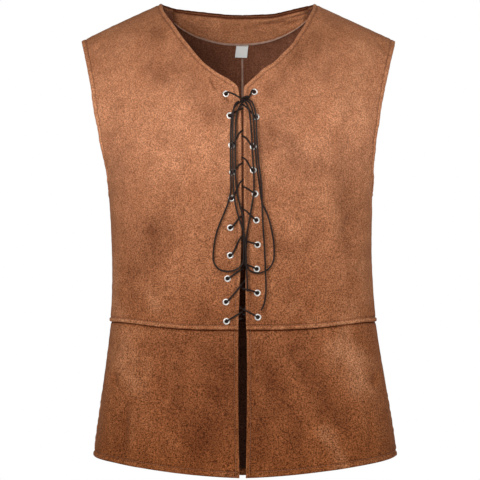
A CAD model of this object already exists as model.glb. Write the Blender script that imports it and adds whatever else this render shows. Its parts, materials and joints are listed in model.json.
# %% [markdown]
# # A laced vest of brown suede
# The vest is a sleeveless jerkin. Two fronts and two backs are sewn at the shoulders and the
# sides, and a flared skirt hangs from a seam at the waist. A thin round lace runs through two
# rows of metal eyelets, closes the front and ends in a long bow.
#
# Every piece below is built over a fixed frame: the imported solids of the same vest. The frame
# gives the sizes and the places, and this script gives the cloth, the sewing and the finishes.

# %% Load the frame
import json
import math

import bpy
import numpy as np
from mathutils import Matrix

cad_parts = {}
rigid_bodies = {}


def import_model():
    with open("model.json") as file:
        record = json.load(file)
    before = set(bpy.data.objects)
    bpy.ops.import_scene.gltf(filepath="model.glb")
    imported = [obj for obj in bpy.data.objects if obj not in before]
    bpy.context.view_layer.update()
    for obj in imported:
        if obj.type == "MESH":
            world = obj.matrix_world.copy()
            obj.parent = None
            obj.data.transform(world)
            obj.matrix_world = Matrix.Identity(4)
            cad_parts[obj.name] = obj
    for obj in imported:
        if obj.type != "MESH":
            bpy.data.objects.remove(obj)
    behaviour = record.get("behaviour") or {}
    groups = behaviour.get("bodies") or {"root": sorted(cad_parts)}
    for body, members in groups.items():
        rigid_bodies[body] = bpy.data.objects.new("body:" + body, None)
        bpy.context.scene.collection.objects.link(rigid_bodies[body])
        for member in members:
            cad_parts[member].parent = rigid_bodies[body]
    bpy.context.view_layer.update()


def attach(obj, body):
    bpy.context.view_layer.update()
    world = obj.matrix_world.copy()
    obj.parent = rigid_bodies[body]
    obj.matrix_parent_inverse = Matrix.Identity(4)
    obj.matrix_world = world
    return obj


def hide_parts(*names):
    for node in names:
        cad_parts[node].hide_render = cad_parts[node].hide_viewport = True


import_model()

# %% [markdown]
# ## Camera
# The vest is seen straight from the front, level with its middle, from 5 m away. A long lens
# keeps the far side of the neck opening close to its true size. The lens is set so that the
# square view takes in 720 mm of the plane through the shoulder seams.

# %% The camera
MM = 0.001  # the cutting sizes below are in millimetres, and Blender works in metres
VIEW_WIDE = 0.72
VIEW_FAR = 5.0
VIEW_MIDDLE, VIEW_HEIGHT = -0.00375, -0.354
SENSOR = 36.0


def add_object(name, data):
    """A new object in the scene, with this mesh, curve, light or camera."""
    item = bpy.data.objects.new(name, data)
    bpy.context.scene.collection.objects.link(item)
    return item


camera_data = bpy.data.cameras.new("front view")
camera_data.sensor_width = SENSOR
camera_data.lens = SENSOR * VIEW_FAR / VIEW_WIDE
camera_data.dof.use_dof = False
camera = add_object("front view", camera_data)
camera.location = (VIEW_MIDDLE, -VIEW_FAR, VIEW_HEIGHT)
camera.rotation_euler = (math.pi / 2, 0, 0)
bpy.context.scene.camera = camera
print("lens:", camera_data.lens, "mm")

# %% [markdown]
# ## The form that all the cloth lies on
# The vest is filled out as if it were worn. Its cross-section is a rounded square, wider than
# it is deep, and above the chest line the front and the back close over the shoulders.
# A table gives the half-width and the depths at each height. A smooth curve through the rows
# gives every size between them, so the panels, the seams, the stitches and the lace can all
# ask for the same surface.

# %% Sizes of the cloth and the cut
CLOTH = 1.6  # how thick the cloth is
SEAM = 0.3  # the slit between two panels at a seam
SQUARE = 2.5  # 2 makes the body's cross-section an oval, and more makes it squarer
QUARTER = math.pi / 2  # a place round the body is a turn from the middle (0) to the side
CHEST_DOWN, ARCH = 250, 260  # where the form starts to close over the shoulders, and its rise
CHEST_HALF, RIDGE_HALF, RIDGE_BEND, RIDGE_ROUND = 206, 268, 12, 50
NECK_HALF, TIP_HALF, SHOULDER_DROP = 114, 235, 56
BACK_NECK_DOWN, FRONT_NECK_DOWN = 11.5, 136
UNDERARM_DOWN, ARMHOLE_DEPTH, ARMHOLE_ROUND, ARMHOLE_ROUND_TOP = 285, 60, 2.2, 1.95
WAIST_SIDE_DOWN, WAIST_DROP, LAP = 475.5, 10, 8
WAIST_FLAT, WAIST_LEVEL = 0.15, 1.15  # the waist seam climbs between these two turns
HEM_SIDE_DOWN, HEM_DROP = 677, {"front": 25, "back": 39}
HEM_CURVE = 1.55  # 1 would make the hem straight from the middle to the sides
VENT_DOWN, VENT_IN, VENT_HEM_IN = 572, 1.5, 0.8
VENT_TURN = 1.05  # the slit's edge is drawn in from this turn on
NECK_SWAY = -5  # the neckline's middle sways this far to one side
SWAY_ENDS = (30, 140)  # depths between which that sway dies out

# depth below the neck points, half-width, depth in front, depth behind
BODY = np.array([
    (250, 206, 130, 126), (268, 201.5, 130, 125), (285, 197.5, 129.5, 124),
    (324, 195.5, 128, 120), (384, 194.5, 124.5, 113), (444, 196.5, 121.5, 109),
    (474, 199.5, 121, 109), (534, 208, 123, 115), (594, 217, 126, 124),
    (654, 226, 130, 131), (720, 233, 133, 135),
])
# depth below the neck points, half the opening between the fronts on the left and on the right
FRONT_GAP = np.array([
    (136, 5.4, 1.8), (144, 4.4, 1.5), (156, 2.4, 1.5), (175, 1.6, 1.5), (220, 1.5, 1.6),
    (300, 1.5, 2.0), (345, 1.8, 3.2), (385, 2.9, 4.5), (430, 4.6, 4.3), (460, 5.8, 4.9),
    (500, 6.4, 6.1), (560, 6.5, 6.5), (640, 5.8, 5.8), (705, 4.5, 4.5),
])
NECKLINE = np.array([
    (-40, 135, 135), (0, 114, 114), (10, 111.5, 111.5), (17, 107.6, 107.7), (37, 93.8, 97),
    (50, 86, 88), (65, 75.5, 77.5), (80, 65, 62), (93, 54, 48), (103, 42.5, 31.5), (110, 33, 23.5),
    (117, 21, 15.5), (125, 10.5, 6.3), (130, 6.7, 2.2), (136, 5.4, 1.8),
])
# depth below the neck points, how far the vest leans to one side there
LEAN = np.array([
    (-40, -5.2), (57, -5.2), (95, -6.4), (140, -7.4), (180, -6.8), (225, -6.0), (270, -3.8),
    (315, -2.3), (354, -1.4), (444, 0.4), (534, 2.2), (624, 3.7), (720, 4.0),
])
print("rows of the body:", len(BODY), "- widest half:", BODY[:, 1].max(), "mm")

# %% Small helpers
def mix(a, b, t):
    return a + (b - a) * t


def ease(low, high, value):
    """A soft step from 0 at low to 1 at high."""
    t = np.clip((value - low) / (high - low), 0, 1)
    return t * t * (3 - 2 * t)


def bell(away, wide):
    """1 on a line, and fading to both sides of it over a width."""
    return np.exp(-((away / wide) ** 2))


def along(table, column, down):
    """A smooth curve through one column of a table, by depth below the neck points."""
    depth, value, last = table[:, 0], table[:, column], len(table) - 1
    b = np.clip(np.searchsorted(depth, down, side="right"), 1, last)
    a, before, after = b - 1, np.maximum(0, b - 2), np.minimum(last, b + 1)
    span = depth[b] - depth[a]
    t = np.clip((down - depth[a]) / span, 0, 1)
    slope_a = (value[b] - value[before]) / (depth[b] - depth[before]) * span
    slope_b = (value[after] - value[a]) / (depth[after] - depth[a]) * span
    start = (2 * t**3 - 3 * t**2 + 1) * value[a] + (t**3 - 2 * t**2 + t) * slope_a
    return start + (3 * t**2 - 2 * t**3) * value[b] + (t**3 - t**2) * slope_b


def solve(low, high, rising):
    """Where a rising function passes zero, for a whole array at once."""
    a, b = np.array(low, float), np.array(high, float)
    for _ in range(36):
        middle = (a + b) / 2
        under = rising(middle) < 0
        a, b = np.where(under, middle, a), np.where(under, b, middle)
    return (a + b) / 2

print("half-width at the waist:", round(float(along(BODY, 1, WAIST_SIDE_DOWN)), 1), "mm")

# %% The surface
def ridge_down(x):
    """How far the shoulder line has dropped, so far out from the middle."""
    slope = SHOULDER_DROP / (math.hypot(TIP_HALF, RIDGE_ROUND) - math.hypot(NECK_HALF, RIDGE_ROUND))
    return slope * (np.hypot(x, RIDGE_ROUND) - math.hypot(NECK_HALF, RIDGE_ROUND))


def down_at(turn, rise):
    """Depth below the neck points. Rise is height over the chest line, along the form."""
    ridge = ridge_down(RIDGE_HALF * np.sin(turn) ** (2 / SQUARE))
    over_chest = np.sin(np.maximum(rise, 0) / ARCH * QUARTER)
    return np.where(rise <= 0, CHEST_DOWN - rise, mix(CHEST_DOWN, ridge, over_chest))


def half_at(rise):
    """Half the form's width."""
    height = np.sin(np.clip(rise, 0, ARCH) / ARCH * QUARTER)
    above = CHEST_HALF + (RIDGE_HALF - CHEST_HALF - RIDGE_BEND) * height + RIDGE_BEND * height**2
    return np.where(rise <= 0, along(BODY, 1, CHEST_DOWN - rise), above)


def out_at(turn, rise):
    return half_at(rise) * np.sin(turn) ** (2 / SQUARE)


def depth_at(face, turn, rise):
    arch = np.maximum(0, rise) / ARCH * QUARTER
    full = along(BODY, 2 if face == "front" else 3, CHEST_DOWN - np.minimum(0, rise))
    return full * np.cos(arch) * np.cos(turn) ** (2 / SQUARE)


def body_point(face, side, turn, rise, skirt=False):
    """Points of the form, where all the cloth lies, with the slits' edge drawn in on the skirt."""
    turn = np.clip(turn, 0, QUARTER)
    down = down_at(turn, rise)
    out = out_at(turn, rise)
    if skirt and face == "front":
        inward = mix(VENT_IN, VENT_HEM_IN, ease(VENT_DOWN + 20, HEM_SIDE_DOWN + 15, down))
        out = out - inward * ease(VENT_DOWN, VENT_DOWN + 18, down) * ease(VENT_TURN, QUARTER, turn)
    share = out / half_at(rise)
    sway = NECK_SWAY * np.sin(math.pi * share) * (1 - ease(*SWAY_ENDS, down))
    lean = along(LEAN, 1, down) * share + sway
    away = -1 if face == "front" else 1
    y = away * (SEAM / 2 + depth_at(face, turn, rise))
    return np.stack(np.broadcast_arrays(side * out + lean, y, -down), axis=-1)


print("middle of the front at the chest:", body_point("front", 1, 0.0, 0.0).round(1))

# %% [markdown]
# ## Folds and creases
# Cloth that is filled out is still never smooth. Broad soft folds run from the underarms to
# the waist and down the skirt, and narrower creases start where the cloth is held: at the
# shoulder ends, at the top eyelets, over the waist seam and at the tops of the side vents.
# A simulation would put them anywhere, so each one is a line drawn by hand, with a width and a
# depth. The cloth sinks along it (or rises, where the depth is negative) and fades to its ends.

# %% Folds and creases, drawn by hand
FOLDS = {  # from (x, down), to (x, down), width, depth: the frame has these too
    "front": [
        ((-100, 292), (-176, 442), 22, 5), ((152, 210), (160, 436), 18, 5),
        ((126, 280), (150, 415), 16, -4), ((26, 525), (86, 630), 20, 5),
        ((78, 495), (160, 660), 22, 6), ((-182, 600), (-184, 690), 16, 6),
        ((-40, 505), (-70, 700), 26, 4),
    ],
    "back": [
        ((-60, 330), (-150, 455), 24, 6), ((70, 345), (155, 450), 24, 5),
        ((-90, 500), (-120, 700), 26, 6), ((60, 510), (110, 700), 26, 6),
    ],
}
CREASES = {  # points (x, down), width, depth
    "front": [
        ([(-44, 116), (-31, 132), (-24, 146), (-17, 162)], 3.2, 1.3),
        ([(-50, 122), (-37, 141), (-28, 160)], 5, -0.7),
        ([(-205, 58), (-213, 66), (-222, 76)], 3.5, 1.6), ([(196, 54), (206, 62), (214, 76)], 3.5, 1.6),
        ([(-150, 84), (-128, 104), (-108, 128)], 15, 2.0),
        ([(160, 80), (132, 104), (112, 138)], 16, 1.8),
        ([(-176, 120), (-166, 170), (-164, 232)], 13, 2.2),
        ([(174, 112), (160, 165), (158, 220)], 12, 2.0),
        ([(-186, 280), (-150, 330), (-118, 352)], 10, 1.4),
        ([(184, 290), (150, 342), (128, 380)], 10, 1.5),
        ([(-146, 462), (-122, 465), (-100, 463)], 6, 1.6),
        ([(-92, 470), (-60, 468), (-38, 472)], 6, 0.9), ([(60, 471), (86, 468), (112, 466)], 6, 1.0),
        ([(128, 466), (150, 461), (170, 458)], 5, 1.1),
        ([(-118, 236), (-106, 258), (-98, 290)], 9, 0.9),
        ([(-62, 250), (-52, 300), (-58, 352)], 12, 0.8), ([(70, 200), (62, 260), (74, 330)], 14, 0.9),
        ([(-34, 226), (-24, 236), (-16, 246)], 4, 0.8), ([(-36, 424), (-26, 418), (-20, 412)], 4, 0.6),
        ([(-196, 548), (-193, 560), (-190, 572)], 5, 2.4),
        ([(200, 548), (198, 560), (194, 574)], 5, 2.4),
        ([(-172, 588), (-174, 612), (-178, 650)], 5, 1.8),
        ([(-165, 592), (-163, 630), (-166, 668)], 7, -1.2),
        ([(188, 600), (190, 640), (188, 676)], 5, 1.8),
        ([(-118, 488), (-112, 540), (-120, 620)], 14, 1.6),
        ([(-74, 490), (-80, 560), (-98, 660)], 12, -1.4), ([(20, 498), (40, 560), (58, 640)], 9, 1.4),
        ([(120, 492), (134, 560), (150, 610)], 10, -1.3),
        ([(-150, 640), (-146, 668), (-148, 694)], 8, 1.4),
        ([(-118, 650), (-112, 676), (-114, 700)], 7, 1.2),
        ([(110, 640), (118, 672), (120, 698)], 8, 1.3),
    ],
    "back": [
        ([(-208, 60), (-216, 68), (-224, 78)], 4, 1.6), ([(200, 56), (210, 64), (218, 76)], 4, 1.6),
        ([(-150, 92), (-120, 150), (-108, 220)], 18, 2.2),
        ([(150, 88), (118, 150), (112, 226)], 18, 2.0),
        ([(-176, 282), (-120, 340), (-70, 372)], 13, 2.0),
        ([(178, 286), (128, 336), (80, 366)], 13, 2.0), ([(-90, 420), (-40, 432), (20, 426)], 9, 1.5),
        ([(30, 446), (90, 440), (140, 450)], 9, 1.4), ([(-150, 456), (-110, 448), (-70, 458)], 8, 1.3),
        ([(-14, 190), (-10, 300), (-12, 400)], 14, 1.2),
        ([(-30, 500), (-38, 600), (-30, 700)], 16, -2.0),
        ([(140, 520), (158, 620), (164, 690)], 14, 1.8),
        ([(-158, 520), (-166, 610), (-172, 686)], 14, 1.8),
        ([(14, 520), (20, 620), (16, 700)], 15, 1.6),
    ],
}


def count_in(table):
    return sum(len(rows) for rows in table.values())


print(count_in(FOLDS), "broad folds and", count_in(CREASES), "creases")

# %% How deep they go
CREASED = 1.5  # how much deeper all the creases are than drawn
STROKE_END = 0.8  # how bluntly a stroke fades out at its ends


def pushed_in(face, x, down):
    """How far the cloth of one face is pushed in at a place, by all folds and creases."""
    total = CREASED * drawn(CREASES[face], x, down)
    for start, end, wide, deep in FOLDS[face]:
        away, share = from_line(x, down, start, end)
        total += deep * bell(away, wide) * (0.4 + 0.6 * np.sin(math.pi * share))
    return total


def drawn(strokes, x, down):
    """What drawn strokes add up to at a place: each is strongest along its middle and fades out."""
    x, down = np.broadcast_arrays(np.asarray(x, float), np.asarray(down, float))
    total = np.zeros(x.shape)
    for points, wide, strength in strokes:
        best, where = np.full(x.shape, 1e9), np.zeros(x.shape)
        for k in range(len(points) - 1):
            away, share = from_line(x, down, points[k], points[k + 1])
            nearer = away < best
            best = np.where(nearer, away, best)
            where = np.where(nearer, (k + share) / (len(points) - 1), where)
        total += strength * bell(best, wide) * np.sin(math.pi * where) ** STROKE_END
    return total


def from_line(x, down, start, end):
    """Distance from a straight line, and the share of it that is nearest."""
    dx, dy = end[0] - start[0], end[1] - start[1]
    share = np.clip(((x - start[0]) * dx + (down - start[1]) * dy) / (dx * dx + dy * dy), 0, 1)
    return np.hypot(x - start[0] - share * dx, down - start[1] - share * dy), share


WAVED = 1.5  # how much higher all the waves are than their size
FREE_OF_SEAMS, FREE_OF_MIDDLE = (0, 34), (8, 44)  # distances over which the waves rise
WAVES = [  # size, then how fast it runs across and down, and where it starts
    (0.55, 0.052, 0.021, 0.4), (0.45, -0.031, 0.047, 2.1), (0.35, 0.083, -0.034, 4.0),
    (0.22, 0.121, 0.072, 1.3), (0.18, -0.097, 0.139, 5.2), (0.12, 0.21, 0.16, 3.3),
]


def uneven(x, y, down):
    """The slight waviness of cloth that hangs free, dying out at the seams and the middle."""
    wave = sum(size * np.sin(across * x + fall * down + start) for size, across, fall, start in WAVES)
    return WAVED * wave * ease(*FREE_OF_SEAMS, np.abs(y)) * ease(*FREE_OF_MIDDLE, np.abs(x))


print("pushed in at one place on the front:", round(float(pushed_in("front", 155, 340)), 1), "mm")

# %% [markdown]
# ### Brushed nap
# A hand that strokes suede leaves it lighter or darker, because the nap then lies another way.
# A new vest that has been packed and worn a little shows broad soft strokes like that. They are
# drawn like the creases, but they change only the tone of the nap and not the form.

# %% Strokes in the nap
STROKES = {  # points (x, down), width, lighter (above 0) or darker (below 0)
    "front": [
        ([(-118, 70), (-98, 112), (-60, 150), (-8, 188)], 24, -0.5),
        ([(-51, 106), (-40, 119), (-29, 133)], 2.8, -0.9),
        ([(-24, 146), (-20, 153), (-16, 162)], 2.8, -0.9),
        ([(-158, 52), (-134, 44), (-108, 44)], 11, -0.5),
        ([(-172, 120), (-164, 168), (-156, 210)], 18, 0.5),
        ([(-190, 150), (-188, 210), (-184, 300)], 13, -0.3),
        ([(-128, 186), (-116, 216), (-112, 250)], 16, -0.3),
        ([(-84, 190), (-66, 210), (-52, 260)], 24, 0.25),
        ([(-130, 290), (-110, 312), (-30, 300)], 22, 0.25),
        ([(-182, 310), (-158, 346), (-96, 392)], 17, -0.34),
        ([(-192, 360), (-191, 430), (-192, 500)], 14, 0.6),
        ([(-146, 410), (-140, 440), (-134, 466)], 16, 0.5),
        ([(-100, 452), (-30, 456), (60, 452)], 12, -0.32),
        ([(-140, 484), (-100, 505), (-30, 530)], 22, -0.4),
        ([(-24, 490), (-22, 560), (-34, 690)], 24, -0.62),
        ([(-92, 500), (-92, 560), (-88, 610)], 13, -0.32),
        ([(-184, 480), (-178, 535), (-172, 590)], 22, 0.55),
        ([(-96, 590), (-70, 640), (-52, 704)], 24, -0.6),
        ([(120, 40), (74, 100), (28, 156)], 20, -0.55), ([(168, 60), (162, 130), (166, 210)], 22, 0.42),
        ([(12, 170), (36, 206), (48, 240)], 22, -0.6), ([(66, 200), (88, 232), (118, 284)], 20, -0.6),
        ([(8, 200), (8, 245), (8, 300)], 14, -0.3), ([(122, 290), (132, 322), (136, 352)], 14, 0.42),
        ([(20, 340), (56, 356), (104, 372)], 17, -0.5), ([(184, 340), (184, 400), (180, 460)], 12, 0.5),
        ([(66, 440), (82, 466), (96, 488)], 14, 0.42), ([(140, 430), (156, 468), (164, 500)], 18, 0.45),
        ([(30, 440), (32, 466), (28, 496)], 13, -0.4), ([(146, 486), (164, 530), (176, 590)], 24, 0.85),
        ([(12, 470), (12, 580), (22, 716)], 18, -0.42), ([(24, 590), (36, 650), (44, 710)], 18, -0.45),
        ([(70, 590), (80, 640), (70, 700)], 20, -0.5), ([(72, 506), (84, 534), (90, 560)], 13, -0.5),
        ([(122, 616), (132, 650), (138, 690)], 16, 0.6),
    ],
    "back": [
        ([(-150, 90), (-110, 200), (-60, 300)], 30, -0.4),
        ([(150, 110), (120, 200), (90, 330)], 30, -0.35),
        ([(-60, 120), (-50, 220), (-70, 330)], 34, 0.4), ([(70, 90), (60, 190), (50, 260)], 30, 0.35),
        ([(-150, 380), (-60, 440), (40, 430)], 22, -0.35),
        ([(-120, 520), (-80, 600), (-90, 700)], 30, -0.5),
        ([(30, 500), (60, 600), (50, 700)], 28, 0.45), ([(150, 510), (140, 600), (150, 690)], 24, -0.4),
    ],
}
print("strokes in the nap:", count_in(STROKES))

# %% A place on the front
def on_front(x, down):
    """The cloth's outside at places on the front, with the direction straight out of it."""
    x, down = np.broadcast_arrays(np.asarray(x, float), np.asarray(down, float))

    def above(rise):
        return down - down_at(turn_for(np.abs(x), rise), rise)

    high = solve(np.zeros(x.shape), np.full(x.shape, ARCH), above)
    rise = np.where(down >= CHEST_DOWN, CHEST_DOWN - down, high)
    side = np.where(x < 0, -1, 1)

    def at(dx, dr):
        turn = turn_for(np.maximum(0.01, np.abs(x) + dx), rise + dr)
        return body_point("front", side, turn, rise + dr)

    point = at(0, 0)
    out = np.cross(at(3, 0) - at(-np.minimum(3, np.abs(x)), 0), at(0, 3) - at(0, -3))
    out /= np.linalg.norm(out, axis=-1, keepdims=True)
    out = np.where(out[..., 1:2] > 0, -out, out)
    sink = pushed_in("front", point[..., 0], down) + uneven(point[..., 0], point[..., 1], down)
    return point - out * sink[..., None], out


def turn_for(out, rise):
    """The turn round the body of a place so far out from the middle."""
    return np.arcsin(np.minimum(1, out / half_at(rise)) ** (SQUARE / 2))


def over(rows):
    """Points over the front, from rows of x, depth below the neck points, and height over the cloth."""
    rows = np.array(rows, float)
    point, out = on_front(rows[:, 0], rows[:, 1])
    return point + out * rows[:, 2:3]


print("5 mm over a place on the front:", over([(20, 300, 5)]).round(1))

# %% [markdown]
# ## The lace
# One round lace, 2.6 mm thick, closes the vest. Both halves come out of an eyelet, run up to
# the opening, go in, and come out of the next eyelet on the other side. At the top they are
# tied in a bow: two loops and two free ends hang down in front of the lacing. The free ends
# are what a cord is in the real world, so each loop and end is one smooth curve with a round
# section, declared with its length. The lacing is held all the way, so it is a plain curve.

# %% The lace's routes
LACE = 2.6  # how thick the lace is
PLAY, PROUD = 0.35, 0.7  # room between lace and eyelet, and how far an eyelet's rim stands out
FRONT_RUN = PLAY + PROUD + 0.35 + LACE / 2  # the lace's middle over the cloth, in front
BEHIND_RUN = -CLOTH - FRONT_RUN  # the same behind it
THROUGH = -CLOTH / 2
NEAR, FAR = 6.2, 9.4  # how far in front of the cloth the loops and the free ends hang
KNOT_X, KNOT_DOWN, KNOT_AHEAD, KNOT_WIDE = 3.2, 148.6, 5.4, 5.2

# the eyelets' places: left out from the middle, left depth, right out, right depth
EYELETS = [
    (23.5, 139.5, 17.8, 137), (18.1, 172, 20.4, 174), (15.6, 215.5, 15.8, 217.5),
    (14.5, 255, 15.8, 252), (15.9, 293, 18.6, 286.5), (17.7, 336, 20.5, 325),
    (18, 376.5, 22, 361), (21.9, 410.5, 20.9, 396.5), (24.3, 444.7, 21.6, 431.5),
    (23.6, 473, 22.3, 467),
]
# where the lace from each eyelet goes into the opening, from the second pair down
PASSES = [
    (162, 156), (194, 202), (241.5, 233.5), (267, 275.5), (318.5, 308), (348, 354.5),
    (396, 387.5), (418, 424.5), (458.8, 455),
]
# the bow's routes: x, depth below the neck points, height over the cloth
LOOP_LEFT = [
    (1.2, 150.4, 5.4), (-4.6, 153.8, 6.2), (-10.4, 159.5, 6.8), (-14, 168.5, NEAR),
    (-16.2, 184, NEAR), (-17, 214, NEAR), (-17, 250, NEAR), (-17.2, 284, NEAR), (-22, 303, NEAR),
    (-30, 323, NEAR), (-37.5, 344, NEAR), (-41.8, 368, NEAR), (-41.5, 386, NEAR),
    (-34, 396.5, NEAR), (-21, 399.5, NEAR), (-9, 396.5, NEAR), (0.2, 388, NEAR), (1.6, 372, NEAR),
    (1.2, 348, NEAR), (0.6, 322, NEAR), (-3.2, 306, NEAR), (-7.2, 288, NEAR), (-10, 262, NEAR),
    (-10.4, 228, NEAR), (-10, 194, NEAR), (-8.4, 172, NEAR), (-4.6, 160.5, NEAR), (1.4, 152.4, 6.0),
]
LOOP_RIGHT = [
    (4.6, 150.2, 5.4), (9.6, 153.6, 6.2), (12.8, 160, 6.8), (15.4, 170, NEAR), (17.4, 196, NEAR),
    (19, 222, NEAR), (21.4, 248, NEAR), (25, 274, NEAR), (28.4, 298, NEAR), (36, 316, NEAR),
    (42.6, 340, NEAR), (45.8, 364, NEAR), (44, 386, NEAR), (35.5, 397.5, NEAR), (22, 402, NEAR),
    (10.4, 398, NEAR), (4.4, 388, NEAR), (5, 370, NEAR), (6.4, 345, NEAR), (9.6, 326, NEAR),
    (13.4, 305, NEAR), (16.4, 284, NEAR), (16.8, 262, NEAR), (14.6, 226, NEAR), (12.8, 192, NEAR),
    (10.6, 172, NEAR), (8, 160.5, NEAR), (3.6, 152.2, 6.0),
]
END_LEFT = [
    (-5.2, 152.4, 8.2), (-10.6, 157.6, FAR), (-13.2, 172, FAR), (-13.8, 206, FAR),
    (-13.6, 246, FAR), (-12.4, 286, FAR), (-9, 308, FAR), (-3, 328, FAR), (2.4, 346, FAR),
    (4.6, 368, FAR), (5.6, 392, FAR), (6.6, 412, FAR), (7.2, 429, 8.6),
]
END_RIGHT = [
    (8.4, 149.4, 8.2), (14.2, 154.6, FAR), (19.4, 170, FAR), (21.2, 204, FAR), (23.6, 238, FAR),
    (27.6, 272, FAR), (28.6, 302, FAR), (29.8, 334, FAR), (31.8, 366, FAR), (33, 398, FAR),
    (33.6, 428, FAR), (31.2, 446, FAR), (26.8, 457, 8.6),
]

print("points in the bow's routes:", [len(r) for r in (LOOP_LEFT, LOOP_RIGHT, END_LEFT, END_RIGHT)])

# %% The way of the lacing
# the lace round an eyelet, from behind to in front: further out, lower, height over the cloth
AT_EYELET = [
    (-0.4, 0.4, BEHIND_RUN + 0.6), (0, 0, THROUGH), (-0.4, -0.4, FRONT_RUN - 0.3),
    (-2.6, -1.6, FRONT_RUN + 0.4),
]


def eyelet_place(row, side):
    """How far out from the middle and how far down an eyelet is."""
    return EYELETS[row][:2] if side < 0 else EYELETS[row][2:]


def lacing_rows(side):
    """The rows of one half of the lacing, from behind the lowest pair of eyelets up to the knot."""
    out, down = eyelet_place(9, side)
    rows = [(side * 0.15, down - 4, BEHIND_RUN), (side * 4, down - 4, BEHIND_RUN)]
    rows.append((side * (out - 5), down - 1.5, BEHIND_RUN - 0.2))
    for row in range(9, -1, -1):
        out, down = eyelet_place(row, side)
        rows += [(side * (out + outward), down + lower, high) for outward, lower, high in AT_EYELET]
        if row == 0:
            break
        other = -side
        next_out, next_down = eyelet_place(row - 1, other)
        into = PASSES[row - 1][0 if side < 0 else 1]
        rows.append((side * 5, mix(down, into, 0.8), FRONT_RUN))
        rows.append((side * 0.9, into + 0.6, FRONT_RUN - 0.6))
        rows.append((side * 0.02, into, THROUGH))
        rows.append((other * 0.9, into - 0.6, BEHIND_RUN + 0.6))
        rows.append((other * 5, mix(into, next_down, 0.25), BEHIND_RUN))
        rows.append((other * (next_out - 3), next_down + 3, BEHIND_RUN - 0.2))
        side = other
    rows.append((side * 12, KNOT_DOWN - 7, FRONT_RUN + 1.2))
    rows.append((KNOT_X + side * (KNOT_WIDE + 0.9), KNOT_DOWN - 1.5, KNOT_AHEAD - 0.6))
    return rows


print("places that one half of the lacing runs through:", len(lacing_rows(-1)))

# %% Smooth curves with a round section
def smooth(points, per_span=8):
    """Many points on a smooth curve through chosen points, evened by the root of their distances."""
    padded = np.vstack([2 * points[0] - points[1], points, 2 * points[-1] - points[-2]])
    spans = []
    for k in range(1, len(padded) - 2):
        p = padded[k - 1 : k + 3]
        knots = np.concatenate([[0], np.cumsum(np.sqrt(np.linalg.norm(np.diff(p, axis=0), axis=1)))])
        t = np.linspace(knots[1], knots[2], per_span, endpoint=False)[:, None]
        between = lambda a, b, i, j: ((knots[j] - t) * a + (t - knots[i]) * b) / (knots[j] - knots[i])
        a1, a2, a3 = between(p[0], p[1], 0, 1), between(p[1], p[2], 1, 2), between(p[2], p[3], 2, 3)
        b1, b2 = between(a1, a2, 0, 2), between(a2, a3, 1, 3)
        spans.append(between(b1, b2, 1, 2))
    return np.vstack([*spans, points[-1:]])


def length_of(points):
    """The length of a line of points, in millimetres."""
    return float(np.linalg.norm(np.diff(points, axis=0), axis=1).sum())


def lace_curve(name, routes, diameter=LACE):
    """A curve object with one round strand for each route."""
    curve = bpy.data.curves.new(name, "CURVE")
    curve.dimensions = "3D"
    curve.bevel_depth = 1.0  # each point's radius says how thick the lace is
    curve.bevel_resolution = 3
    curve.use_fill_caps = True
    for points in routes:
        strand = curve.splines.new("POLY")
        strand.points.add(len(points) - 1)
        strand.points.foreach_set("co", np.c_[points * MM, np.ones(len(points))].ravel())
        strand.points.foreach_set("radius", np.full(len(points), diameter / 2 * MM))
        strand.use_smooth = True
    return add_object(name, curve)


print("left loop:", round(length_of(smooth(over(LOOP_LEFT)))), "mm from", len(LOOP_LEFT), "points")

# %% The lacing, the bow's loops and the free ends
def place_piece(piece, slot, *nodes):
    """Fixes a piece to the vest's one body, and lets it stand for the frame's solids."""
    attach(piece, "root")
    if nodes:
        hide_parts(*nodes)
    return piece


laces = []
for side, word in ((-1, "left"), (1, "right")):
    rows = smooth(over(lacing_rows(side)), 6)
    lacing = lace_curve(f"lacing_strand_{word}", [rows])
    laces.append(place_piece(lacing, "lace", f"lacing_{word}"))
    print(f"lacing strand {word}: {length_of(rows):.0f} mm")

HANGING = [  # name, route, what its far end is, the frame's solid
    ("lace_loop_left", LOOP_LEFT, "object", "bow_loop_left"),
    ("lace_loop_right", LOOP_RIGHT, "object", "bow_loop_right"),
    ("lace_tail_left", END_LEFT, "bare", "lace_end_left"),
    ("lace_tail_right", END_RIGHT, "bare", "lace_end_right"),
]
for name, rows, far_end, node in HANGING:
    points = smooth(over(rows))
    piece = place_piece(lace_curve(name, [points]), "lace", node)
    length = round(length_of(points) * MM, 3)
    laces.append(piece)
    print(f"{name}: {length * 1000:.0f} mm")

# %% [markdown]
# ### The knot
# Where the loops and the ends meet, the lace is wrapped round itself and pulled tight. A ball
# would look like a bead, so the knot is made of what it really is: a few short turns of the
# same lace that cross, bulge over each other and leave no hole.

# %% The knot
def knot_turn(tilt, wide, high, ahead, start, end):
    """Part of an oval turn of lace round the knot's middle."""
    middle, out = on_front(KNOT_X, KNOT_DOWN)
    angle = np.linspace(start, end, 26)
    across, upward = np.cos(angle) * wide, np.sin(angle) * high
    x = across * math.cos(tilt) - upward * math.sin(tilt)
    z = across * math.sin(tilt) + upward * math.cos(tilt)
    height = ahead + 1.5 * np.sin(angle * 2 + 0.6)
    return middle + out * height[:, None] + np.stack([x, 0 * x, z], axis=-1)


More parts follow.
